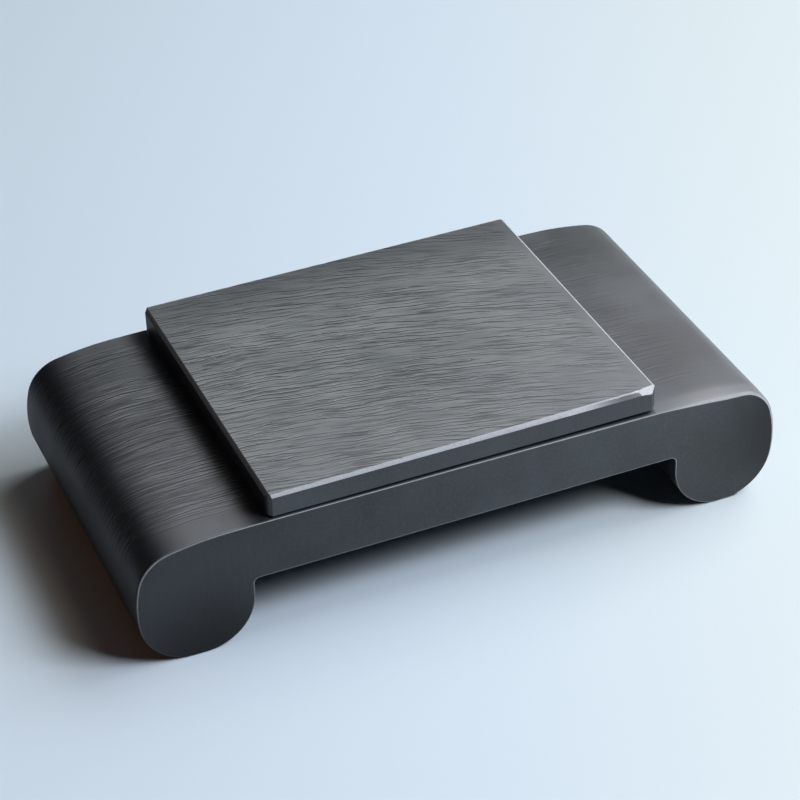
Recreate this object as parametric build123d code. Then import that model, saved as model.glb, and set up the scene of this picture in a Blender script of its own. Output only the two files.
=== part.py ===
"""Ink stone carved as a low scroll-foot table, with a loose stone lid over its pool.

Origin: middle of the ground under the feet. +X along the table, +Y to the back, +Z up.
"""
import os
from math import cos, radians, sin, tan

from build123d import *

# Base block
base_length = 262.0
base_depth = 138.0
base_height = 52.0
slab_thickness = 24.7
foot_width = 45.4

# Outline of a scroll foot: arcs that follow each other from the flat top round to the ground
shoulder_radius = 116.0
shoulder_turn = 11.2
corner_radius = 16.5
corner_turn = 65.7
side_radius = 49.6
side_turn = 23.5
ground_flat = 3.6
throat_radius = 2.2
face_rounding = 1.4

# Mouth that takes the lid, with the ledge that carries it
rim_width = 11.0
mouth_depth = 3.0
mouth_corner_radius = 8.0
mouth_edge_break = 0.5
ledge_width = 5.0

# Ink pool inside the ledge
pool_corner_radius = 14.0
pool_edge_break = 0.6
pool_floor_radius = 4.0
grinding_depth = 6.0
grinding_slope = 1.4
bank_length = 26.0
bank_drop = 5.0
well_length = 24.0

# Lid
lid_length = 157.5
lid_inset = 0.3
lid_thickness = 9.8
lid_gap = 1.0
lid_corner_chamfer = 2.0
lid_top_chamfer = 1.2
lid_under_chamfer = 0.4
seat_clearance = 0.4
boss_edge_break = 0.5

# How far a cut runs past the face that it opens
overrun = 5.0

# Heights and sizes that follow
underside = base_height - slab_thickness
foot_inner = base_length / 2 - foot_width
ledge_height = base_height - mouth_depth
lid_depth = base_depth - 2 * lid_inset
lid_under = base_height + lid_gap
mouth_length = lid_length - 2 * rim_width
mouth_width = lid_depth - 2 * rim_width
pool_length = mouth_length - 2 * ledge_width
pool_width = mouth_width - 2 * ledge_width

# How far the outline has turned down from level at the end of the shoulder, corner and side
shoulder_end = radians(shoulder_turn)
corner_end = radians(shoulder_turn + corner_turn)
side_end = radians(shoulder_turn + corner_turn + side_turn)

# Half of the flat top: what the arcs leave of half the length
flat_top_half = (
    base_length / 2
    - shoulder_radius * sin(shoulder_end)
    - corner_radius * (sin(corner_end) - sin(shoulder_end))
    - side_radius * (1 - sin(corner_end))
)


def foot_outline():
    """The right foot's outline, from the end of the flat top round to the underside of the slab."""
    shoulder = JernArc((flat_top_half, base_height), (1, 0), shoulder_radius, -shoulder_turn)
    corner = JernArc(shoulder @ 1, shoulder % 1, corner_radius, -corner_turn)
    side = JernArc(corner @ 1, corner % 1, side_radius, -side_turn)
    sole_turn = 180 - shoulder_turn - corner_turn - side_turn
    sole_radius = (side @ 1).Y / (1 + cos(side_end))
    sole = JernArc(side @ 1, side % 1, sole_radius, -sole_turn)
    heel_room = (sole @ 1).X - ground_flat - foot_inner
    heel_radius = min(heel_room, underside - 2 * throat_radius)
    ground = Line(sole @ 1, (foot_inner + heel_radius, 0))
    heel = JernArc(ground @ 1, (-1, 0), heel_radius, -90)
    wall = Line(heel @ 1, (foot_inner, underside))
    return [shoulder, corner, side, sole, ground, heel, wall]


def table_block():
    """Slab and two feet in one block: one outline run through from front to back, its edges rounded."""
    with BuildPart() as block:
        with BuildSketch(Plane.XZ):
            with BuildLine():
                mirror(foot_outline(), about=Plane.YZ)
                Line((-flat_top_half, base_height), (flat_top_half, base_height))
                Line((-foot_inner, underside), (foot_inner, underside))
            make_face()
        extrude(amount=base_depth / 2, both=True)
        slab_under = block.faces().filter_by(Axis.Z).sort_by(Axis.Z)[-2]
        fillet(slab_under.edges().filter_by(Axis.Y), throat_radius)
        by_depth = block.faces().sort_by(Axis.Y)
        fillet(by_depth[0].edges() + by_depth[-1].edges(), face_rounding)
    return block.part


def pool_cutter():
    """The hollow under the ledge: a grinding floor that falls by a soft bank into a well."""
    slope = tan(radians(grinding_slope))
    well_end = well_length - pool_length / 2
    bank_top = well_end + bank_length
    floor_right = ledge_height - grinding_depth
    floor_bank = floor_right - slope * (pool_length / 2 - bank_top)
    floor_well = floor_bank - bank_drop
    past_end = pool_length / 2 + overrun
    past_top = ledge_height + overrun
    with BuildPart() as cutter:
        with BuildSketch(Plane.XZ):
            with BuildLine():
                Line((-past_end, floor_well), (well_end, floor_well))
                Spline(
                    (well_end, floor_well),
                    (bank_top, floor_bank),
                    tangents=[(1, 0), (1, slope)],
                )
                Polyline(
                    (bank_top, floor_bank),
                    (past_end, floor_right + slope * overrun),
                    (past_end, past_top),
                    (-past_end, past_top),
                    (-past_end, floor_well),
                )
            make_face()
        extrude(amount=base_depth / 2, both=True)
        with BuildSketch():
            RectangleRounded(pool_length, pool_width, pool_corner_radius)
        extrude(amount=past_top, mode=Mode.INTERSECT)
        edges = cutter.edges()
        # Along X come two edges of the left wall, the two seams of the bank, two of the right wall
        seams = edges.filter_by(Axis.Y).sort_by(Axis.X)[2:-2]
        mouth_edges = cutter.faces().sort_by(Axis.Z)[-1].edges()
        fillet(edges - edges.filter_by(Axis.Z) - seams - mouth_edges, pool_floor_radius)
    return cutter.part


def ink_stone_base():
    """The block with its mouth, its ledge and its pool."""
    with BuildPart() as base:
        add(table_block())
        with BuildSketch(Plane.XY.offset(base_height)):
            RectangleRounded(mouth_length, mouth_width, mouth_corner_radius)
        extrude(amount=-mouth_depth, mode=Mode.SUBTRACT)
        add(pool_cutter(), mode=Mode.SUBTRACT)
        top = base.faces().filter_by(Axis.Z).sort_by(Axis.Z)[-1]
        chamfer(top.inner_wires()[0].edges(), mouth_edge_break)
        ledge = base.faces().filter_by(Axis.Z).sort_by(Axis.Z)[-2]
        chamfer(ledge.inner_wires()[0].edges(), pool_edge_break)
    return base.part


def lid():
    """A flat slab with broken edges, and a boss beneath that drops into the mouth."""
    with BuildPart() as cover:
        with BuildSketch(Plane.XY.offset(lid_under)):
            Rectangle(lid_length, lid_depth)
        extrude(amount=lid_thickness)
        chamfer(cover.edges().filter_by(Axis.Z), lid_corner_chamfer)
        chamfer(cover.faces().sort_by(Axis.Z)[-1].edges(), lid_top_chamfer)
        chamfer(cover.faces().sort_by(Axis.Z)[0].edges(), lid_under_chamfer)
        with BuildSketch(Plane.XY.offset(ledge_height)):
            RectangleRounded(
                mouth_length - 2 * seat_clearance,
                mouth_width - 2 * seat_clearance,
                mouth_corner_radius - seat_clearance,
            )
        extrude(amount=lid_under - ledge_height)
        chamfer(cover.faces().sort_by(Axis.Z)[0].edges(), boss_edge_break)
    return cover.part


os.makedirs("parts", exist_ok=True)
export_step(ink_stone_base(), "parts/ink_stone_base.step")
export_step(lid(), "parts/lid.step")
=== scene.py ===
import bmesh
import bpy
from math import asin, cos, pi, radians, sin, tan
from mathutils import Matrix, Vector


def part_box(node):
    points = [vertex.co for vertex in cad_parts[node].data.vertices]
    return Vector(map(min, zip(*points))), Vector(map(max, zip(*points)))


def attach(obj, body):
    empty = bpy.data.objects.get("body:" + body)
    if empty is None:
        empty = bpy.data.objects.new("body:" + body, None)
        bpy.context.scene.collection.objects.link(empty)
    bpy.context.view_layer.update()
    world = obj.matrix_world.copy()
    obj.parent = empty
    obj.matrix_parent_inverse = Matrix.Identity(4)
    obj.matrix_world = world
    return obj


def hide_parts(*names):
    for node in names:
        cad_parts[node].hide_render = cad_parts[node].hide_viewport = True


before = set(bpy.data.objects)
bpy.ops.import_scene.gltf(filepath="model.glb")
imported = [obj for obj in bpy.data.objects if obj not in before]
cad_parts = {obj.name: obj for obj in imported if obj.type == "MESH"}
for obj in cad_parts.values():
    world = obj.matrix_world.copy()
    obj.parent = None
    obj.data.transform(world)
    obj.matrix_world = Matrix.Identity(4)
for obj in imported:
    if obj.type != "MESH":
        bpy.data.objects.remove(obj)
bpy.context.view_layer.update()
bpy.ops.object.select_all(action="DESELECT")


# Base of the ink stone: one block of black slate, sawn and carved as a low table on two scroll feet.
# The faces are honed, the top and the scrolls are combed along the stone's grain with a toothed
# scraper, and the mouth for the lid and the ink pool are sunk from above.

mm = 0.001
base_low, base_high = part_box("ink_stone_base")
base_front, base_back = base_low.y, base_high.y
base_length = base_high.x - base_low.x
base_depth = base_back - base_front
base_height = base_high.z
lid_low, lid_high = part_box("lid")
lid_length = lid_high.x - lid_low.x
lid_depth = lid_high.y - lid_low.y
lid_half = lid_length / 2

slab_thickness = 24.7 * mm
foot_width = 45.4 * mm
underside = base_height - slab_thickness
foot_inner = base_length / 2 - foot_width
ground_flat = 3.6 * mm
throat_radius = 2.2 * mm
# Radius and turn of the shoulder, the corner and the side of a scroll
scroll_arcs = (
    (116.0 * mm, radians(11.2)),
    (16.5 * mm, radians(65.7)),
    (49.6 * mm, radians(23.5)),
)
outline_step = 1.6 * mm
fewest_arc_steps = 5
touching = 0.05 * mm


def pick(kind, test):
    """Selects the vertices or edges in edit mode whose middle passes the test."""
    mesh = bmesh.from_edit_mesh(bpy.context.object.data)
    bpy.ops.mesh.select_mode(type=kind)
    bpy.ops.mesh.select_all(action="DESELECT")
    for part in mesh.verts if kind == "VERT" else mesh.edges:
        corners = [part] if kind == "VERT" else part.verts
        middle = sum((corner.co for corner in corners), Vector()) / len(corners)
        if test(middle, part):
            part.select_set(True)
    mesh.select_flush_mode()
    bmesh.update_edit_mesh(bpy.context.object.data)


def start_point(name, place):
    """A new mesh at the origin with one vertex, ready to be drawn out in edit mode."""
    bpy.ops.mesh.primitive_plane_add(size=1)
    bpy.context.object.name = name
    bpy.ops.object.mode_set(mode="EDIT")
    bpy.ops.mesh.select_all(action="SELECT")
    bpy.ops.mesh.merge(type="CENTER")
    bpy.ops.transform.translate(value=place)
    return bpy.context.object


def draw_out(x=0.0, y=0.0, z=0.0):
    """Extrudes what is selected and leaves its new end selected."""
    bpy.ops.mesh.extrude_region_move(TRANSFORM_OT_translate={"value": (x, y, z)})


def draw_line(run, rise, steps=1):
    """Draws the last vertex of the outline out along a straight line."""
    for step in range(steps):
        draw_out(run / steps, 0, rise / steps)


def draw_arc(x, z, turned, radius, turn):
    """Spins the last vertex round an arc. turned is how far the outline points down from level."""
    middle_x = x - radius * sin(turned)
    middle_z = z - radius * cos(turned)
    steps = max(fewest_arc_steps, round(radius * turn / outline_step))
    bpy.ops.mesh.spin(
        steps=steps, angle=-turn, center=(middle_x, base_front, middle_z), axis=(0, 1, 0)
    )
    turned += turn
    return middle_x + radius * sin(turned), middle_z + radius * cos(turned), turned


def face_outwards():
    """Turns all faces of the mesh in edit mode outwards."""
    bpy.ops.mesh.select_all(action="SELECT")
    bpy.ops.mesh.normals_make_consistent(inside=False)


def cut_through(point, facing, **closing):
    """Cuts the whole mesh in edit mode along a plane through a point."""
    bpy.ops.mesh.select_all(action="SELECT")
    bpy.ops.mesh.bisect(plane_co=point, plane_no=facing, **closing)


# Where the flat top ends and the first arc of the scroll starts
turned = 0.0
flat_top_half = base_length / 2
for radius, turn in scroll_arcs:
    flat_top_half -= radius * (sin(min(turned + turn, pi / 2)) - sin(turned))
    turned += turn

base = start_point("ink_stone_base_dressed", (0, base_front, base_height))
draw_line(lid_half, 0)
draw_line(flat_top_half - lid_half, 0, round((flat_top_half - lid_half) / outline_step))
x, z, turned = flat_top_half, base_height, 0.0
for radius, turn in scroll_arcs:
    x, z, turned = draw_arc(x, z, turned, radius, turn)
x, z, turned = draw_arc(x, z, turned, z / (1 + cos(turned)), pi - turned)
draw_line(-ground_flat, 0)
x -= ground_flat
x, z, turned = draw_arc(x, z, turned, x - foot_inner, pi / 2)
draw_line(0, underside - throat_radius - z)
draw_arc(x, underside - throat_radius, turned, -throat_radius, -pi / 2)
draw_line(throat_radius - foot_inner, 0)

# The left half mirrors the right, and the filled outline is drawn back to the full depth
bpy.ops.mesh.select_all(action="SELECT")
bpy.ops.mesh.duplicate()
bpy.ops.transform.resize(value=(-1, 1, 1), center_override=(0, 0, 0))
bpy.ops.mesh.select_all(action="SELECT")
bpy.ops.mesh.remove_doubles(threshold=touching)
bpy.ops.mesh.edge_face_add()
draw_out(y=base_depth)
face_outwards()

# Rows of points behind the front edge, which is ground down below
front_slope_width = 9 * mm
front_slope_steps = 4
for step in range(1, front_slope_steps + 1):
    cut_y = base_front + front_slope_width * step / front_slope_steps
    cut_through((0, cut_y, 0), (0, 1, 0))

# The right foot came out a little narrower than the left: its inner wall and heel stand farther out
foot_difference = 2.2 * mm
wall_start = foot_inner - throat_radius - touching
heel_end = base_length / 2 - 16 * mm
foot_top = underside + touching
pick("VERT", lambda place, part: wall_start < place.x < heel_end and place.z < foot_top)
bpy.ops.transform.translate(value=(foot_difference, 0, 0))
bpy.ops.object.mode_set(mode="OBJECT")


def ease(value, start, end):
    """0 before start, 1 after end and a soft step between."""
    share = min(max((value - start) / (end - start), 0.0), 1.0)
    return share * share * (3 - 2 * share)


def part_way(start, end, share):
    """The value that lies a share of the way from start to end."""
    return start + (end - start) * share


# The edges are rubbed round, above more than below: in the middle of the table and out on a scroll
widest_rounding = 4.0 * mm
under_rounding = 0.5 * mm
back_rounding = (0.6 * mm, 2.0 * mm)
left_rounding = (0.5 * mm, 0.9 * mm)
right_rounding = (0.5 * mm, 1.1 * mm)
rounding_run = 36 * mm
rubbed_from, rubbed_fully = 8 * mm, 40 * mm
opening_margin = 1 * mm


def rounding_at(place):
    """How far the edge of a front or back face is rubbed round at a place on it."""
    if abs(place.x) < foot_inner + opening_margin and place.z < underside + opening_margin:
        return under_rounding
    front_rounding = right_rounding if place.x > 0 else left_rounding
    in_middle, on_scroll = back_rounding if place.y > 0 else front_rounding
    upper = part_way(in_middle, on_scroll, ease(abs(place.x), lid_half, lid_half + rounding_run))
    return part_way(under_rounding, upper, ease(place.z, rubbed_from, rubbed_fully))


# The top is ground down towards its front edge: least at the left, most on the right shoulder
least_droop = 0.05 * mm
droop_steps = ((-85 * mm, 0, 0.4 * mm), (0, 80 * mm, 0.7 * mm))
shoulder_droop = 0.9 * mm
shoulder_full, shoulder_ends, shoulder_over = 100 * mm, 104 * mm, 124 * mm
scroll_from, scroll_fully, scroll_relief = 108 * mm, 126 * mm, 0.7
droop_from, droop_fully = 30 * mm, 48 * mm


def droop_at(place):
    """How far the front edge of the top has been ground down at a place on it."""
    droop = least_droop + sum(drop * ease(place.x, start, end) for start, end, drop in droop_steps)
    past_shoulder = ease(place.x, shoulder_ends, shoulder_over)
    on_shoulder = ease(place.x, lid_half, shoulder_full) * (1 - past_shoulder)
    on_scroll = ease(place.x, scroll_from, scroll_fully)
    droop = (droop + shoulder_droop * on_shoulder) * (1 - scroll_relief * on_scroll)
    return droop * ease(place.z, droop_from, droop_fully)


for vertex in base.data.vertices:
    share = 1 - (vertex.co.y - base_front) / front_slope_width
    if share > 0:
        outwards = Vector((vertex.normal.x, 0, vertex.normal.z)).normalized()
        vertex.co -= droop_at(vertex.co) * share**2 * outwards


def apply_modifier(piece, kind, **settings):
    """Adds a modifier to a piece, sets it and applies it."""
    bpy.context.view_layer.objects.active = piece
    modifier = piece.modifiers.new(kind.lower(), kind)
    for name, value in settings.items():
        setattr(modifier, name, value)
    bpy.ops.object.modifier_apply(modifier=modifier.name)


# Only the edges that lie in the front or back plane are rounded
weights = base.data.attributes.new("bevel_weight_edge", "FLOAT", "EDGE")
for edge in base.data.edges:
    first, second = (base.data.vertices[index].co for index in edge.vertices)
    along_plane = abs(first.y - second.y) < touching
    if along_plane and abs(abs(first.y) - base_depth / 2) < touching:
        weights.data[edge.index].value = rounding_at((first + second) / 2) / widest_rounding
apply_modifier(
    base,
    "BEVEL",
    width=widest_rounding,
    limit_method="WEIGHT",
    offset_type="OFFSET",
    segments=5,
    use_clamp_overlap=False,
)

# The mouth that takes the lid, and the pool inside its ledge, are cut with two shaped tools
rim_width = 11.0 * mm
mouth_depth = 3.0 * mm
mouth_corner_radius = 8.0 * mm
mouth_edge_break = 0.5 * mm
ledge_width = 5.0 * mm
pool_corner_radius = 14.0 * mm
pool_edge_break = 0.6 * mm
pool_floor_radius = 4.0 * mm
grinding_depth = 6.0 * mm
grinding_slope = tan(radians(1.4))
bank_length = 26.0 * mm
bank_drop = 5.0 * mm
bank_steps = 16
well_length = 24.0 * mm
overrun = 5.0 * mm
corner_segments = 10
ledge_height = base_height - mouth_depth
mouth_length = lid_length - 2 * rim_width
mouth_width = lid_depth - 2 * rim_width
pool_length = mouth_length - 2 * ledge_width
pool_width = mouth_width - 2 * ledge_width
grinding_level = ledge_height - grinding_depth
well_end = well_length - pool_length / 2
bank_top = well_end + bank_length


def start_plate(name, length, width, corner, level):
    """A new flat plate with round corners at a level, ready to be drawn out in edit mode."""
    bpy.ops.object.select_all(action="DESELECT")
    bpy.ops.mesh.primitive_plane_add(size=1)
    plate = bpy.context.object
    plate.name = name
    bpy.ops.object.mode_set(mode="EDIT")
    bpy.ops.transform.resize(value=(length, width, 1), center_override=(0, 0, 0))
    bpy.ops.transform.translate(value=(0, 0, level))
    bpy.ops.mesh.bevel(offset=corner, segments=corner_segments, affect="VERTICES")
    return plate


def sinking_tool(name, length, width, corner, edge_break, level, depth):
    """A block with round corners that widens at the level it enters, to break the edge there."""
    wide, deep = length + 2 * edge_break, width + 2 * edge_break
    tool = start_plate(name, wide, deep, corner + edge_break, level + overrun)
    draw_out(z=-overrun)
    draw_out(z=-edge_break)
    closing_in = (length / wide, width / deep, 1)
    bpy.ops.transform.resize(value=closing_in, center_override=(0, 0, level))
    draw_out(z=edge_break - depth)
    face_outwards()
    return tool


def use_tool(piece, tool, operation):
    """Cuts a tool's shape out of a piece, or joins it to the piece, and puts the tool away."""
    bpy.ops.object.mode_set(mode="OBJECT")
    tool.select_set(False)
    apply_modifier(piece, "BOOLEAN", operation=operation, solver="EXACT", object=tool)
    bpy.data.objects.remove(tool)


mouth_tool = sinking_tool(
    "mouth_tool", mouth_length, mouth_width, mouth_corner_radius, mouth_edge_break,
    base_height, mouth_depth,
)
use_tool(base, mouth_tool, "DIFFERENCE")


def pool_floor(place_x):
    """Height of the pool's floor: a slope to grind on, a soft bank and a level well."""
    if place_x > bank_top:
        return grinding_level - grinding_slope * (pool_length / 2 - place_x)
    bank_head = grinding_level - grinding_slope * (pool_length / 2 - bank_top)
    return bank_head - bank_drop * (1 - ease(place_x, well_end, bank_top))


def on_floor_rim(place, edge):
    """True for an edge between the floor of the pool and its wall."""
    steep = [abs(face.normal.z) < 0.2 for face in edge.link_faces]
    rim_level = ledge_height - pool_edge_break - 1 * mm
    low = all(corner.co.z < rim_level for corner in edge.verts)
    return low and len(steep) == 2 and steep[0] != steep[1]


pool_tool = sinking_tool(
    "pool_tool", pool_length, pool_width, pool_corner_radius, pool_edge_break,
    ledge_height, grinding_depth,
)
for step in range(bank_steps + 1):
    cut_through((well_end + bank_length * step / bank_steps, 0, 0), (1, 0, 0))
pick("VERT", lambda place, part: abs(place.z - grinding_level) < touching)
for vertex in bmesh.from_edit_mesh(pool_tool.data).verts:
    if vertex.select:
        vertex.co.z = pool_floor(vertex.co.x)
bmesh.update_edit_mesh(pool_tool.data)
pick("EDGE", on_floor_rim)
bpy.ops.mesh.bevel(offset=pool_floor_radius, segments=7, affect="EDGES", clamp_overlap=False)
use_tool(base, pool_tool, "DIFFERENCE")

# The combed part of each end is divided finely from front to back, to carry its grooves
comb_cuts = 480
comb_foot = 15 * mm
bpy.context.view_layer.objects.active = base
bpy.ops.object.mode_set(mode="EDIT")


def runs_front_to_back(place, edge):
    """True for the long edges over the end of the top, the shoulder and the side of a scroll."""
    first, second = (corner.co for corner in edge.verts)
    long_enough = abs(first.y - second.y) > base_depth / 2
    return long_enough and abs(place.x) > lid_half - touching and place.z > comb_foot


pick("EDGE", runs_front_to_back)
bpy.ops.mesh.subdivide(number_cuts=comb_cuts)
bpy.ops.object.mode_set(mode="OBJECT")

# Kinds of node that the patterns use, with their settings. A soft step rises from 0 to 1, or from its
# third number to its fourth, while what it reads goes from the first number to the second
multiply = ("ShaderNodeMath", {"operation": "MULTIPLY"})
multiply_add = ("ShaderNodeMath", {"operation": "MULTIPLY_ADD"})
subtract = ("ShaderNodeMath", {"operation": "SUBTRACT"})
divide = ("ShaderNodeMath", {"operation": "DIVIDE"})
whole_part = ("ShaderNodeMath", {"operation": "FLOOR"})
part_left = ("ShaderNodeMath", {"operation": "FRACT"})
drop_sign = ("ShaderNodeMath", {"operation": "ABSOLUTE"})
soft_step = ("ShaderNodeMapRange", {"interpolation_type": "SMOOTHSTEP"})
stretch = ("ShaderNodeVectorMath", {"operation": "MULTIPLY"})
shift = ("ShaderNodeVectorMath", {"operation": "ADD"})
mix_colours = ("ShaderNodeMix", {"data_type": "RGBA"})


def add_node(tree, kind, *values, output=None, **named):
    """Adds a node of a kind, sets its settings and gives its output, or a list where it has several.
    Its open sockets are set in order or by name, _ for a space, and are linked to what is an output."""
    kind, settings = (kind, {}) if isinstance(kind, str) else kind
    node = tree.nodes.new(kind)
    for name, setting in settings.items():
        setattr(node, name, setting)
    pairs = list(zip([socket for socket in node.inputs if socket.enabled], values))
    pairs += [(node.inputs[name.replace("_", " ")], value) for name, value in named.items()]
    for socket, value in pairs:
        if isinstance(value, bpy.types.NodeSocket):
            tree.links.new(value, socket)
        else:
            socket.default_value = value
    if output is not None:
        return node.outputs[output]
    outputs = [socket for socket in node.outputs if socket.enabled]
    return outputs[0] if len(outputs) == 1 else outputs


def noise(tree, place, along, across, seed=0.0, detail=1.0):
    """Soft noise about 0.5, with marks of about this length along X and this width across Y."""
    scaled = add_node(tree, stretch, place, (1 / along, 1 / across, 1 / along))
    moved = add_node(tree, shift, scaled, (seed, seed, seed))
    return add_node(
        tree, "ShaderNodeTexNoise", output="Fac", Vector=moved, Scale=1.0, Detail=detail, Roughness=0.45
    )


def between(tree, value, low, high, soft):
    """1 between two values, 0 outside, with soft ends."""
    after = add_node(tree, soft_step, value, low - soft, low + soft)
    before = add_node(tree, soft_step, value, high + soft, high - soft)
    return add_node(tree, multiply, after, before)


# Each groove has a lane. A lane reads the noise in a row of its own, far from its neighbours' rows
row_apart = 7.31
wander_seed = 31.3
# Its bends as a share of its length, and how soft its ends are
bend_share = 0.3
end_softness = 0.14
# Widths as shares of its thickness: of its pointed end, and of the stone pushed up beside it
pointed_end = 0.4
shoulder_from, shoulder_to, shoulder_softness = 1.3, 2.4, 0.4
shoulder_height = 0.3


def strokes(tree, place, apart, length, thickness, seed, share, stray=1.5):
    """Thin grooves side by side along X, about this far apart and long: each one wanders, tapers and
    stops on its own. 1 in the middle of a groove, a little below 0 on the shoulders beside it."""
    x, y, z = add_node(tree, "ShaderNodeSeparateXYZ", place)
    lane = add_node(tree, divide, y, apart)
    row = add_node(tree, multiply, add_node(tree, whole_part, lane), row_apart)
    own = add_node(tree, "ShaderNodeCombineXYZ", x, row, z)
    level = noise(tree, own, length, 1.0, seed)
    wander = noise(tree, own, bend_share * length, 1.0, seed + wander_seed, 2.0)
    centred = add_node(tree, multiply_add, add_node(tree, part_left, lane), 1.0, 0.5 * stray - 0.5)
    middle = add_node(tree, multiply_add, wander, -stray, centred)
    away = add_node(tree, multiply, add_node(tree, drop_sign, middle), apart)
    present = add_node(tree, soft_step, level, 1 - share, 1 + end_softness - share)
    narrowest = pointed_end * thickness
    half_width = add_node(tree, multiply_add, present, thickness - narrowest, narrowest)
    hollow = add_node(tree, soft_step, away, half_width, 0.0)
    shoulder = between(
        tree, away, shoulder_from * thickness, shoulder_to * thickness, shoulder_softness * thickness
    )
    profile = add_node(tree, multiply_add, shoulder, -shoulder_height, hollow)
    return add_node(tree, multiply, profile, present)


grain_wave_length = 22 * mm


def along_grain(tree, place, slope, bend, wave):
    """Coordinates whose Y follows the grain: it leans by slope, more to the right, and wanders."""
    x, y, z = add_node(tree, "ShaderNodeSeparateXYZ", place)
    lean = add_node(tree, multiply_add, x, bend, slope)
    leaned = add_node(tree, multiply_add, x, lean, y)
    slow = noise(tree, place, grain_wave_length, grain_wave_length)
    wandering = add_node(tree, multiply_add, slow, wave, leaned)
    return add_node(tree, "ShaderNodeCombineXYZ", x, wandering, z)


def comb_marks(tree, grain, bite, masks, long_lines, short_lines, short_depth, ripple):
    """What the comb leaves along the grain: how deep it has cut, 1 in a full groove, and about 0 a
    fine even ripple between the grooves. Bite is how deep it goes, and masks hold it back."""
    for mask in masks:
        bite = add_node(tree, multiply, bite, mask)
    long_cut = strokes(tree, grain, **long_lines)
    short_cut = strokes(tree, grain, **short_lines)
    cut = add_node(tree, multiply_add, short_cut, short_depth, long_cut)
    rise = add_node(tree, subtract, noise(tree, grain, **ripple), 0.5)
    return add_node(tree, multiply, cut, bite), add_node(tree, multiply, rise, bite)


base_long_lines = dict(
    apart=3.0 * mm, length=60 * mm, thickness=0.42 * mm, seed=3.1, share=0.62, stray=0.9
)
base_short_lines = dict(
    apart=1.9 * mm, length=28 * mm, thickness=0.3 * mm, seed=7.7, share=0.52, stray=1.1
)
base_ripple = dict(along=14 * mm, across=0.9 * mm, seed=11.0)
base_short_depth = 0.5
base_comb_depth = 0.16 * mm
# How deep the comb has bitten, as soft steps from one place to another, from one depth to the next:
# over most of the left end, lightly near the lid on the right, and hardly low on the scrolls
left_bite = (50 * mm, 24 * mm, 0.7, 1.2)
right_bite = (112 * mm, 92 * mm, 0.12, 0.4)
scroll_bite = (34 * mm, 47 * mm, 0.04, 1.0)
right_of_middle = (-1 * mm, 1 * mm)
clear_of_lid = (lid_half, lid_half + 3 * mm)
clear_of_faces = (base_front + 13 * mm, base_back - 7 * mm, 6 * mm)


def base_comb(tree, place):
    """The comb's marks at a place on the base."""
    x, y, z = add_node(tree, "ShaderNodeSeparateXYZ", place)
    left = add_node(tree, soft_step, y, *left_bite)
    right = add_node(tree, soft_step, x, *right_bite)
    on_right = add_node(tree, soft_step, x, *right_of_middle)
    bite = add_node(tree, "ShaderNodeMix", on_right, left, right)
    masks = (
        add_node(tree, soft_step, add_node(tree, drop_sign, x), *clear_of_lid),
        between(tree, y, *clear_of_faces),
        add_node(tree, soft_step, z, *scroll_bite),
    )
    grain = along_grain(tree, place, slope=0.0, bend=0.0, wave=2.5 * mm)
    return comb_marks(
        tree, grain, bite, masks, base_long_lines, base_short_lines, base_short_depth, base_ripple
    )


def carve(piece, comb, depth, direction=None):
    """Presses the comb's grooves into a piece's vertices, along their normals or in one direction."""
    tree = bpy.data.node_groups.new(piece.name + "_comb", "GeometryNodeTree")
    for way in ("INPUT", "OUTPUT"):
        tree.interface.new_socket("Geometry", in_out=way, socket_type="NodeSocketGeometry")
    source = add_node(tree, "NodeGroupInput", output="Geometry")
    cut, ripple = comb(tree, add_node(tree, "GeometryNodeInputPosition"))
    if direction is None:
        direction = add_node(tree, "GeometryNodeInputNormal", output="Normal")
    inwards = add_node(
        tree, ("ShaderNodeVectorMath", {"operation": "SCALE"}), direction,
        add_node(tree, multiply, cut, -depth),
    )
    moved = add_node(tree, "GeometryNodeSetPosition", Geometry=source, Offset=inwards)
    add_node(tree, "NodeGroupOutput", moved)
    apply_modifier(piece, "NODES", node_group=tree)


def paint_wear_and_highlight(piece, share):
    """Stores how pale each corner of each face is painted: ground or worn, or a painted highlight."""
    wear = piece.data.attributes.new("wear", "FLOAT", "CORNER")
    for face in piece.data.polygons:
        for corner in face.loop_indices:
            vertex = piece.data.vertices[piece.data.loops[corner].vertex_index]
            wear.data[corner].value = share(face, vertex)


# How pale the stone is painted, from 0 to 1: on the edges, worn pale and with a painted highlight, less
# on the left scroll and low down; on the break of the mouth's edge, worn pale; and over the whole
# rounding at the right end, a broad painted highlight
edge_wear_and_highlight, left_edge_wear_and_highlight = 0.85, 0.5
low_wear_and_highlight, left_low_wear_and_highlight = 0.42, 0.08
mouth_wear = 0.4
right_end_highlight = (0.1, 0.4)
edge_band = 5 * mm
# Where, out from the lid, the paling and highlight are fully those of the right end or of the left scroll
right_end_at, left_scroll_at = 100 * mm, 110 * mm
# How far a rounding has turned, from the top or the end at 0 to the front or back face at 1, where
# the pale strip and the broad painted highlight start and are full, and where they end before the face
strip_turn, broad_turn, face_turn = (0.5, 0.8), (0.1, 0.5), (0.0, 0.08)
flat_face = 0.995
paled_from, paled_fully = 4 * mm, 44 * mm


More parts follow.
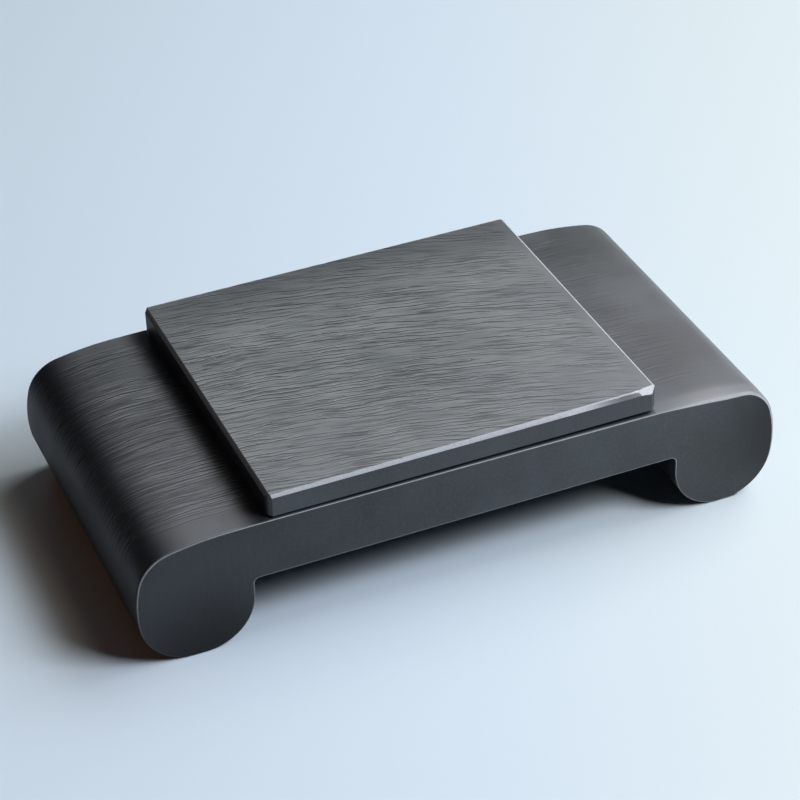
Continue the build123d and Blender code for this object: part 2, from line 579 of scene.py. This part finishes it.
def base_wear_and_highlight(face, vertex):
    """How pale the stone is painted at a corner of a face of the base: worn, and a painted highlight."""
    if abs(vertex.co.y) < base_depth / 2 - edge_band:
        over_mouth = abs(vertex.co.x) < lid_half - edge_band
        return mouth_wear if over_mouth and 0.3 < face.normal.z < 0.95 else 0.0
    if abs(face.normal.y) > flat_face:
        return 0.0
    slant = asin(min(abs(vertex.normal.y), 1.0)) / (pi / 2)
    inside = ease(1 - slant, *face_turn)
    strip = ease(slant, *strip_turn) * inside
    right_end = ease(vertex.co.x, lid_half, right_end_at) if vertex.co.y < 0 else 0.0
    broad = right_end * part_way(*right_end_highlight, ease(slant, *broad_turn)) * inside
    left_scroll = ease(-vertex.co.x, lid_half, left_scroll_at)
    wear = min(edge_wear_and_highlight, strip * part_way(edge_wear_and_highlight, left_edge_wear_and_highlight, left_scroll) + broad)
    low = part_way(low_wear_and_highlight, left_low_wear_and_highlight, left_scroll)
    return wear * part_way(low, 1.0, ease(vertex.co.z, paled_from, paled_fully))


paint_wear_and_highlight(base, base_wear_and_highlight)
carve(base, base_comb, base_comb_depth)


def shade(piece, sharpest=radians(28)):
    """Shades a piece smooth up to an angle, with its flat faces kept flat beside rounded edges."""
    bpy.ops.object.select_all(action="DESELECT")
    piece.select_set(True)
    bpy.context.view_layer.objects.active = piece
    bpy.ops.object.shade_smooth_by_angle(angle=sharpest)
    apply_modifier(piece, "WEIGHTED_NORMAL", mode="FACE_AREA", keep_sharp=True)
    piece.select_set(False)


shade(base)


def linear(hex_colour):
    """An sRGB hex colour as linear red, green, blue and alpha."""
    shares = [int(hex_colour[place:place + 2], 16) / 255 for place in (1, 3, 5)]
    return [s / 12.92 if s <= 0.04045 else ((s + 0.055) / 1.055) ** 2.4 for s in shares] + [1.0]


def new_material(name):
    """A material with an empty node tree, and the piece's own coordinates to draw its pattern in."""
    material = bpy.data.materials.new(name)
    material.use_nodes = True
    tree = material.node_tree
    tree.nodes.clear()
    return material, tree, add_node(tree, "ShaderNodeTexCoord", output="Object")


def finish(tree, **looks):
    """Ends a material in its surface, with the looks under their names on the shader."""
    add_node(tree, "ShaderNodeOutputMaterial", add_node(tree, "ShaderNodeBsdfPrincipled", **looks))


def fade(tree, place, middle, reach):
    """1 at a place in the stone, fading to 0 at a distance from it."""
    away = add_node(tree, ("ShaderNodeVectorMath", {"operation": "DISTANCE"}), place, middle)
    return add_node(tree, soft_step, away, reach, 0.15 * reach)


# Slate splits and is honed to a dull, even stone: nearly black where ink has stained it, grey with its
# own dust where it is scraped, and pale where an edge is ground or rubbed by hands. Shade is painted
# in as near black, light as dusty grey, and highlights on edges as the palest grey. It shines about as
# much as dull glass, IOR 1.5, and cloudily, because its roughness varies.
shade_black = "#17181b"
grain_grey = "#5d6064"
dust_and_light_grey = "#8d9196"
rubbed_and_highlight_grey = "#b4b8bd"
ink_and_shade_black = "#0e0f11"
cloud_size = 30 * mm
# Its real grain is under 0.1 mm and wouldn't show, so it is drawn this coarse
grain_size = 0.7 * mm
saw_mark_apart, saw_mark_length = 1.3 * mm, 24 * mm
ink_edge = 0.3 * mm
ink_foot = (underside + 1 * mm, underside + 3 * mm)
# Soft steps in the patterns, most with how much colour or roughness they start and end on
tone_step = (0.35, 0.65)
grain_step = (0.45, 0.75, 0.0, 0.16)
saw_step = (0.5, 0.75, 0.0, 0.03)
ridge_step = (0.0, 0.4, 0.0)
hollow_step = (0.0, -0.2, 0.0, 0.52)
groove_step = (0.0, 0.6)
mottle_step = (0.25, 0.6, 0.8, 1.0)
roughness_step = (0.3, 0.7, 0.42, 0.5)
# How far the patterns stand up from the face, in mm, and how much of the sheen the painted shade takes
# away
grain_height, saw_height, ripple_height, groove_height = 0.006, 0.002, 0.34, -0.14
shade_place_sheen_loss, shade_step_sheen_loss = 0.6, 0.8
# How much the ripple counts beside the grooves, where the stone pushed up is painted dusty and lighter
ripple_weight = 1.5


def slate(name, tones, comb=None, painted_shade_places=(), pale=(), painted_shade_steps=(), ink_and_shade=None, sheen=0.5, raised=0.36):
    """Black slate between two tones. Honed faces keep faint upright saw marks. Combed ones have groove
    floors and ripple hollows painted dark as shade, and stone pushed up between them, dusty and painted
    lighter by the share raised.
    Each dark place holds the middle, the reach and the share of a patch of painted shade, which also
    dulls the sheen. Each pale step holds an axis, the start and end of a step along it and how much
    light is painted there, and each step into the dark holds the same for painted shade, which also
    dulls the sheen. The inked size is half the size of the part painted black, as shade under the lid
    and as old ink in the pool."""
    material, tree, place = new_material(name)
    axes = add_node(tree, "ShaderNodeSeparateXYZ", place)
    clouds = noise(tree, place, cloud_size, cloud_size, 2.0, 3.0)
    grain = noise(tree, place, grain_size, grain_size, 4.0, 2.0)
    height = add_node(tree, multiply, grain, grain_height)
    layers = [(add_node(tree, soft_step, grain, *grain_step), grain_grey)]
    dulled = []
    # Patches of painted shade: darker colour and duller sheen
    for middle, reach, share in painted_shade_places:
        dark = add_node(tree, multiply, fade(tree, place, middle, reach), share)
        layers.append((dark, shade_black))
        dulled.append((dark, shade_place_sheen_loss))
    if comb is None:
        upright = (1 / saw_mark_apart, 1 / saw_mark_apart, 1 / saw_mark_length)
        marked = add_node(tree, stretch, place, upright)
        saw = add_node(tree, "ShaderNodeTexNoise", output="Fac", Vector=marked, Scale=1.0, Detail=2.0)
        layers.append((add_node(tree, soft_step, saw, *saw_step), grain_grey))
        height = add_node(tree, multiply_add, saw, saw_height, height)
    else:
        cut, ripple = comb(tree, place)
        # Painted shade in groove floors and ripple hollows; pushed-up stone painted dusty and lighter
        pushed_up = add_node(tree, subtract, add_node(tree, multiply, ripple, ripple_weight), cut)
        layers += [
            (add_node(tree, soft_step, pushed_up, *ridge_step, raised), dust_and_light_grey),
            (add_node(tree, soft_step, ripple, *hollow_step), shade_black),
            (add_node(tree, soft_step, cut, *groove_step), shade_black),
        ]
        height = add_node(tree, multiply_add, ripple, ripple_height, height)
        height = add_node(tree, multiply_add, cut, groove_height, height)
    # Steps of painted light towards dusty grey
    for axis, start, end, share in pale:
        layers.append((add_node(tree, soft_step, axes[axis], start, end, 0.0, share), dust_and_light_grey))
    # Steps of painted shade: near black and duller sheen
    for axis, start, end, share in painted_shade_steps:
        dull = add_node(tree, soft_step, axes[axis], start, end, 0.0, share)
        layers.append((dull, shade_black))
        dulled.append((dull, shade_step_sheen_loss))
    # Pale on edges: partly worn or ground, partly a painted highlight
    edge_paling = add_node(tree, ("ShaderNodeAttribute", {"attribute_name": "wear"}), output="Fac")
    mottle = add_node(tree, soft_step, grain, *mottle_step)
    layers.append((add_node(tree, multiply, edge_paling, mottle), rubbed_and_highlight_grey))
    # Painted black under the lid as shade, and in the pool as old ink
    if ink_and_shade is not None:
        blackened = add_node(tree, soft_step, axes[2], *ink_foot)
        for axis, half in zip(axes, ink_and_shade):
            away = add_node(tree, drop_sign, axis)
            within = add_node(tree, soft_step, away, half + ink_edge, half - ink_edge)
            blackened = add_node(tree, multiply, blackened, within)
        layers.append((blackened, ink_and_shade_black))
    tone = add_node(tree, soft_step, clouds, *tone_step)
    colour = add_node(tree, mix_colours, tone, linear(tones[0]), linear(tones[1]))
    for amount, tint in layers:
        colour = add_node(tree, mix_colours, amount, colour, linear(tint))
    for dull, loss in dulled:
        sheen = add_node(tree, multiply, add_node(tree, multiply_add, dull, -loss, 1.0), sheen)
    finish(
        tree,
        Base_Color=colour,
        Roughness=add_node(tree, soft_step, clouds, *roughness_step),
        IOR=1.5,
        Specular_IOR_Level=sheen,
        Normal=add_node(tree, "ShaderNodeBump", Strength=1.0, Distance=1 * mm, Height=height),
    )
    return material


honed_tones = ("#24282b", "#31363a")
combed_tones = ("#424547", "#4e5254")
# Painted shade, darker and duller: over the left of the front, low on its scroll, and on the right scroll
painted_shade_patches = (
    ((-131 * mm, base_front, 10 * mm), 190 * mm, 0.5),
    ((-106 * mm, base_front, -8 * mm), 50 * mm, 0.9),
    ((138 * mm, base_front, 30 * mm), 48 * mm, 0.8),
)
# Painted black under the lid, as shade, and in the pool, as old ink
ink_and_shade = (lid_half - 1 * mm, base_depth / 2 - 1.2 * mm)
# Painted light: the left end is lighter towards the front
painted_light_left = ((1, 40 * mm, -64 * mm, 0.2),)
# Painted shade, darker and duller: on the turn of the scroll, in a band beside the lid where its
# shadow falls, and low on the end
painted_shade_left = (
    (0, -105 * mm, -124 * mm, 0.95),
    (0, -lid_half - 12 * mm, -lid_half - 1.5 * mm, 0.9),
    (2, 28 * mm, 12 * mm, 0.8),
)
# Painted light on the right end towards the front, and painted shade low down on it
painted_light_right = ((1, 66 * mm, -20 * mm, 0.15),)
painted_shade_right = ((2, 42 * mm, 8 * mm, 0.55),)
base.data.materials.clear()
for material in (
    # Rubbed flat with water and grit: smooth, dark and even, a trace of the saw left, with painted shade
    # in patches and painted black under the lid
    slate("honed black slate of the base", honed_tones, painted_shade_places=painted_shade_patches, ink_and_shade=ink_and_shade),
    # Scraped along its grain: greyer with dust, with wandering lines painted dark as shade in the grooves
    slate("combed black slate of the left end", combed_tones, base_comb, pale=painted_light_left,
          painted_shade_steps=painted_shade_left, raised=0.22),
    slate("combed black slate of the right end", combed_tones, base_comb, pale=painted_light_right,
          painted_shade_steps=painted_shade_right, raised=0.2),
    # Painted shade between the feet, where little light reaches: black and almost without sheen
    slate("black slate painted as shade between the feet", ("#0b0c0d", "#111213"), sheen=0.1),
):
    base.data.materials.append(material)
honed_slot, left_slot, right_slot, shade_slot = range(4)


def base_slot(face):
    """The slot of a face's material: the ends are combed, the opening between the feet is painted shade.
    """
    across, rise = abs(face.center.x), face.center.z
    if abs(face.normal.y) > 0.7:
        return honed_slot
    if rise < underside + touching and (face.normal.x * face.center.x < 0 or across < foot_inner):
        return shade_slot
    if across > lid_half - touching:
        return right_slot if face.center.x > 0 else left_slot
    return honed_slot


for face in base.data.polygons:
    face.material_index = base_slot(face)

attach(base, "base")
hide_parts("ink_stone_base")


# Lid: a flat slab of the same slate that drops over the pool, loose, so that ink doesn't dry.
# Its top is combed like the base but on the slant, its edges are sawn and chamfered on a stone,
# and a boss under it drops into the mouth and carries it on the ledge.

lid_top = lid_high.z
lid_thickness = 9.8 * mm
lid_under = lid_top - lid_thickness
half_depth = lid_depth / 2
# The stone pushed up beside the grooves stands this much above the sheet, level with the lid's height
comb_rise = 0.06 * mm

bpy.ops.object.select_all(action="DESELECT")
bpy.ops.mesh.primitive_grid_add(x_subdivisions=150, y_subdivisions=560, size=1)
lid = bpy.context.object
lid.name = "lid_dressed"
bpy.ops.object.mode_set(mode="EDIT")
bpy.ops.transform.resize(value=(lid_length, lid_depth, 1), center_override=(0, 0, 0))
bpy.ops.transform.translate(value=(0, 0, lid_top - comb_rise))
bpy.ops.object.mode_set(mode="OBJECT")

# How far the front chamfer reaches back and down, at the left and at the right end
chamfer_back = (0.4 * mm, 1.45 * mm)
chamfer_down = (1.85 * mm, 1.97 * mm)


def front_chamfer(place_x):
    """How far the front chamfer reaches back and down at a place along it."""
    share = (place_x + lid_half) / lid_length
    return part_way(*chamfer_back, share**2), part_way(*chamfer_down, share)


# The front rows close up to leave room for the chamfer
rows_moved = 8 * mm
for vertex in lid.data.vertices:
    behind = vertex.co.y + half_depth
    if behind < rows_moved:
        reach = front_chamfer(vertex.co.x)[0]
        vertex.co.y = reach - half_depth + behind * (1 - reach / rows_moved)

lid_long_lines = dict(apart=2.2 * mm, length=36 * mm, thickness=0.36 * mm, seed=1.3, share=0.6)
lid_short_lines = dict(apart=1.5 * mm, length=15 * mm, thickness=0.25 * mm, seed=5.9, share=0.54)
lid_ripple = dict(along=12 * mm, across=0.8 * mm, seed=9.4)
lid_short_depth = 0.65
lid_comb_depth = 0.12 * mm
# The comb has bitten in patches, less towards the back, and not at the right edge
patch_length, patch_width, patch_seed = 30 * mm, 16 * mm, 8.0
patch_bite = (0.3, 0.46, 0.5, 1.0)
back_bite = (66 * mm, 26 * mm, 0.65, 1.0)
clear_of_edge = (lid_half - 1.2 * mm, lid_half - 7 * mm)


def lid_comb(tree, place):
    """The comb's marks at a place on the lid's top."""
    x, y, z = add_node(tree, "ShaderNodeSeparateXYZ", place)
    patches = noise(tree, place, patch_length, patch_width, patch_seed)
    bite = add_node(tree, soft_step, patches, *patch_bite)
    masks = (
        add_node(tree, soft_step, x, *clear_of_edge),
        add_node(tree, soft_step, y, *back_bite),
    )
    grain = along_grain(tree, place, slope=0.24, bend=0.8, wave=3.5 * mm)
    return comb_marks(
        tree, grain, bite, masks, lid_long_lines, lid_short_lines, lid_short_depth, lid_ripple
    )


carve(lid, lid_comb, lid_comb_depth, direction=(0, 0, 1))

# The chamfer is drawn forward and down, then the whole edge of the sheet down to the underside
bpy.ops.object.mode_set(mode="EDIT")


def on_front(place, edge):
    """True for an edge along the front of the combed sheet."""
    first, second = (corner.co for corner in edge.verts)
    return edge.is_boundary and place.y < 0 and abs(first.x - second.x) > touching


pick("EDGE", on_front)
# Two narrow strips at its top carry the bright line, rubbed pale and painted as a highlight, each a
# share of what is left to draw
for share in (0.15, 0.18, 1.0):
    draw_out()
    for vertex in bmesh.from_edit_mesh(lid.data).verts:
        if vertex.select:
            chamfer_foot = lid_top - front_chamfer(vertex.co.x)[1]
            vertex.co.y += (-half_depth - vertex.co.y) * share
            vertex.co.z += (chamfer_foot - vertex.co.z) * share
    bmesh.update_edit_mesh(lid.data)
pick("EDGE", lambda place, edge: edge.is_boundary)
draw_out(z=-lid_thickness)
bpy.ops.transform.resize(value=(1, 1, 0), center_override=(0, 0, lid_under))
bpy.ops.mesh.edge_face_add()
face_outwards()


def grind(point, facing):
    """Cuts the slab flat through a point and closes the cut, leaving what lies behind the facing."""
    cut_through(point, Vector(facing).normalized(), use_fill=True, clear_outer=True)


# The other edges are ground off one flat at a time: the upright corners, the right, left and back
# edges of the top, one flat more at the right front corner, and the edges of the underside
corner_chamfer = 2.0 * mm
right_chamfer, left_chamfer, back_chamfer = 0.9 * mm, 1.4 * mm, 0.8 * mm
corner_flat = (lid_half - 0.4 * mm, 2.6 * mm - half_depth, lid_top)
corner_flat_facing = (0.132, -0.991, 0.95)
under_chamfer, front_under_chamfer = 0.4 * mm, 0.1 * mm
for side_x in (-1, 1):
    for side_y in (-1, 1):
        corner_x = side_x * (lid_half - corner_chamfer)
        grind((corner_x, side_y * half_depth, lid_top), (side_x, side_y, 0))
grind((lid_half - right_chamfer, 0, lid_top), (0.6, 0, 1))
grind((left_chamfer - lid_half, 0, lid_top), (-1, 0, 1))
grind((0, half_depth - back_chamfer, lid_top), (0, 1, 1))
grind(corner_flat, corner_flat_facing)
for facing_x, facing_y in ((1, 0), (-1, 0), (0, 1), (0, -1)):
    reach = lid_half if facing_x else half_depth
    reach -= front_under_chamfer if facing_y < 0 else under_chamfer
    grind((facing_x * reach, facing_y * reach, lid_under), (facing_x, facing_y, -1))
bpy.ops.object.mode_set(mode="OBJECT")

# How pale the flats along the top are painted, ground pale and lit by a painted highlight: the front
# one is broad and dull at its right end, all but the bright painted highlight along its upper edge
right_flat_wear_and_highlight, left_flat_wear, dull_wear = 0.9, 0.15, 0.1
dull_from, dull_fully = 44 * mm, 66 * mm
bright_line = 0.45 * mm


def is_ground_flat(face):
    """True for the flats ground along the top edges of the lid."""
    return face.center.z > lid_top - 3 * mm and (0.15 < face.normal.z < 0.8 or face.normal.x > 0.3)


def lid_wear_and_highlight(face, vertex):
    """How pale the stone is painted at a corner of a face of the lid: ground, with a painted highlight.
    """
    if not is_ground_flat(face) or face.normal.z < 0.15:
        return 0.0
    if face.normal.x < -0.3:
        return left_flat_wear
    if face.normal.x > 0.05:
        return right_flat_wear_and_highlight
    if vertex.co.z > lid_top - bright_line:
        return 1.0
    return part_way(1.0, dull_wear, ease(vertex.co.x, dull_from, dull_fully))


paint_wear_and_highlight(lid, lid_wear_and_highlight)

# The boss: a plate with round corners and a broken edge, one piece with the slab
seat_clearance = 0.4 * mm
boss_edge_break = 0.5 * mm
boss_length = lid_length - 2 * (rim_width + seat_clearance)
boss_width = lid_depth - 2 * (rim_width + seat_clearance)
boss_radius = mouth_corner_radius - seat_clearance
foot_length, foot_depth = boss_length - 2 * boss_edge_break, boss_width - 2 * boss_edge_break
joined = 3 * mm
boss = start_plate("boss", foot_length, foot_depth, boss_radius - boss_edge_break, ledge_height)
draw_out(z=boss_edge_break)
opening_out = (boss_length / foot_length, boss_width / foot_depth, 1)
bpy.ops.transform.resize(value=opening_out, center_override=(0, 0, ledge_height))
draw_out(z=lid_under + joined - ledge_height - boss_edge_break)
face_outwards()
use_tool(lid, boss, "UNION")
shade(lid)

# Hands have rubbed the lid's top greyer than the base. It is painted lighter towards the front and
# the right, where the light falls, and painted shade darkens and dulls its back
worn_tones = ("#656b6c", "#717777")
painted_light_sides = ((1, 0, -62 * mm, 0.16), (0, 0, 78 * mm, 0.16))
painted_shade_back = ((1, 28 * mm, 68 * mm, 0.45),)
# Painted shade: the left end of the lid is darker and duller
painted_shade_end = ((0, 1.3 * mm - lid_half, 0.3 * mm - lid_half, 1.0),)
lid.data.materials.clear()
for material in (
    # Sawn and rubbed flat like the base's faces, the left end painted dark and dull as shade
    slate("honed black slate of the lid", honed_tones, painted_shade_steps=painted_shade_end),
    # Scraped on the slant and then handled: the palest slate of the piece, painted lighter to the front
    # and right and darker at the back
    slate("combed black slate of the lid", worn_tones, lid_comb, pale=painted_light_sides, painted_shade_steps=painted_shade_back),
):
    lid.data.materials.append(material)
for face in lid.data.polygons:
    on_top = face.normal.z > 0.8 and face.center.z > lid_top - 1 * mm
    face.material_index = 1 if on_top and not is_ground_flat(face) else 0

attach(lid, "lid")
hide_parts("lid")


# Studio: a plain pale table, a bay window of three soft panes at the right and front, weak fills, a
# black curtain behind and at the left that keeps the stone dark there, and the photograph's camera.

bpy.ops.mesh.primitive_plane_add(size=6.4)
floor = bpy.context.object
floor.name = "floor"
# Painted board, matt: its pale colour shifts from blue at the left, painted as cool shade, to nearly
# white at the right, painted as light from the panes
table, tree, place = new_material("pale painted table")
dot_product = ("ShaderNodeVectorMath", {"operation": "DOT_PRODUCT"})
painted_light_direction, painted_light_step = (0.92, -0.4, 0), (-0.02, 0.2)
across = add_node(tree, dot_product, place, painted_light_direction)
painted_light_share = add_node(tree, soft_step, across, *painted_light_step)
tint = add_node(tree, mix_colours, painted_light_share, linear("#c8dae6"), linear("#cbd9dc"))
finish(tree, Base_Color=tint, Roughness=0.6)
floor.data.materials.append(table)

# The camera, reflections and clear things see the pale room, diffuse surfaces get little of it
room_seen, room_felt = 1.0, 0.008
world = bpy.data.worlds.new("room")
bpy.context.scene.world = world
world.use_nodes = True
sky = world.node_tree
sky.nodes.clear()
greatest = ("ShaderNodeMath", {"operation": "MAXIMUM"})
rays = {ray.name: ray for ray in add_node(sky, "ShaderNodeLightPath")}
seen = add_node(sky, greatest, rays["Is Camera Ray"], rays["Is Glossy Ray"])
seen = add_node(sky, greatest, seen, rays["Is Transmission Ray"])
strength = add_node(sky, soft_step, seen, 0.0, 1.0, room_felt, room_seen)
backdrop = add_node(sky, "ShaderNodeBackground", linear("#dde7f0"), strength)
add_node(sky, "ShaderNodeOutputWorld", backdrop)

# Black velvet, which gives nothing back. The camera doesn't see the curtains
velvet, tree, _ = new_material("black curtain")
finish(tree, Base_Color=linear("#080808"), Roughness=1.0)
curtain_away = 3.2
curtain_height = 5.5
for name, turned, start, end in (("curtain behind", 0, -3.2, 4.0), ("curtain left", 90, -1.4, 3.2)):
    bpy.ops.mesh.primitive_plane_add(size=1)
    curtain = bpy.context.object
    curtain.name = name
    bpy.ops.object.mode_set(mode="EDIT")
    bpy.ops.transform.resize(value=(end - start, curtain_height, 1), center_override=(0, 0, 0))
    bpy.ops.transform.rotate(value=radians(-90), orient_axis="X", center_override=(0, 0, 0))
    bpy.ops.transform.translate(value=((start + end) / 2, curtain_away, curtain_height / 2))
    if turned:
        bpy.ops.transform.rotate(value=radians(-turned), orient_axis="Z", center_override=(0, 0, 0))
    bpy.ops.object.mode_set(mode="OBJECT")
    curtain.data.materials.append(velvet)
    curtain.visible_camera = False

lamp_away = 2.0
pane_shape = 0.82


def soft_lamp(name, azimuth, elevation, power, colour, width=0.85):
    """A soft pane that faces the stone. Azimuth is from +X towards +Y, in degrees."""
    data = bpy.data.lights.new(name, "AREA")
    data.shape = "RECTANGLE"
    data.size = width
    data.size_y = pane_shape * width
    data.energy = power
    data.color = linear(colour)[:3]
    lamp = bpy.data.objects.new(name, data)
    bpy.context.scene.collection.objects.link(lamp)
    level, rise = cos(radians(elevation)), sin(radians(elevation))
    direction = Vector((level * cos(radians(azimuth)), level * sin(radians(azimuth)), rise))
    lamp.location = lamp_away * direction
    lamp.rotation_euler = (-lamp.location).to_track_quat("-Z", "Y").to_euler()


soft_lamp("left pane", -45, 45, 32.6, "#fbf9ff")
soft_lamp("middle pane", -15, 45, 14.6, "#dae7ff", width=1.53)
soft_lamp("right pane", 15, 45, 20.6, "#fdf9f2", width=1.53)
soft_lamp("high fill", -10, 68, 3.9, "#ffe3be")
soft_lamp("low back fill", 75, 20, 1.36, "#daf3ff")
soft_lamp("warm left fill", 165, 30, 1.28, "#ff9000")

# The lens is given in pixels of the photograph's width, as it was worked out from its straight edges
lens_pixels = 2576.9
photo_width = 800
camera_data = bpy.data.cameras.new("camera")
camera_data.sensor_width = 36.0
camera_data.lens = camera_data.sensor_width * lens_pixels / photo_width
camera = bpy.data.objects.new("camera", camera_data)
camera.location = (-310.7 * mm, -767.7 * mm, 618.3 * mm)
camera.rotation_euler = (radians(54.933), radians(1.606), radians(-23.297))
bpy.context.scene.collection.objects.link(camera)
bpy.context.scene.camera = camera
bpy.context.scene.view_settings.view_transform = "Standard"
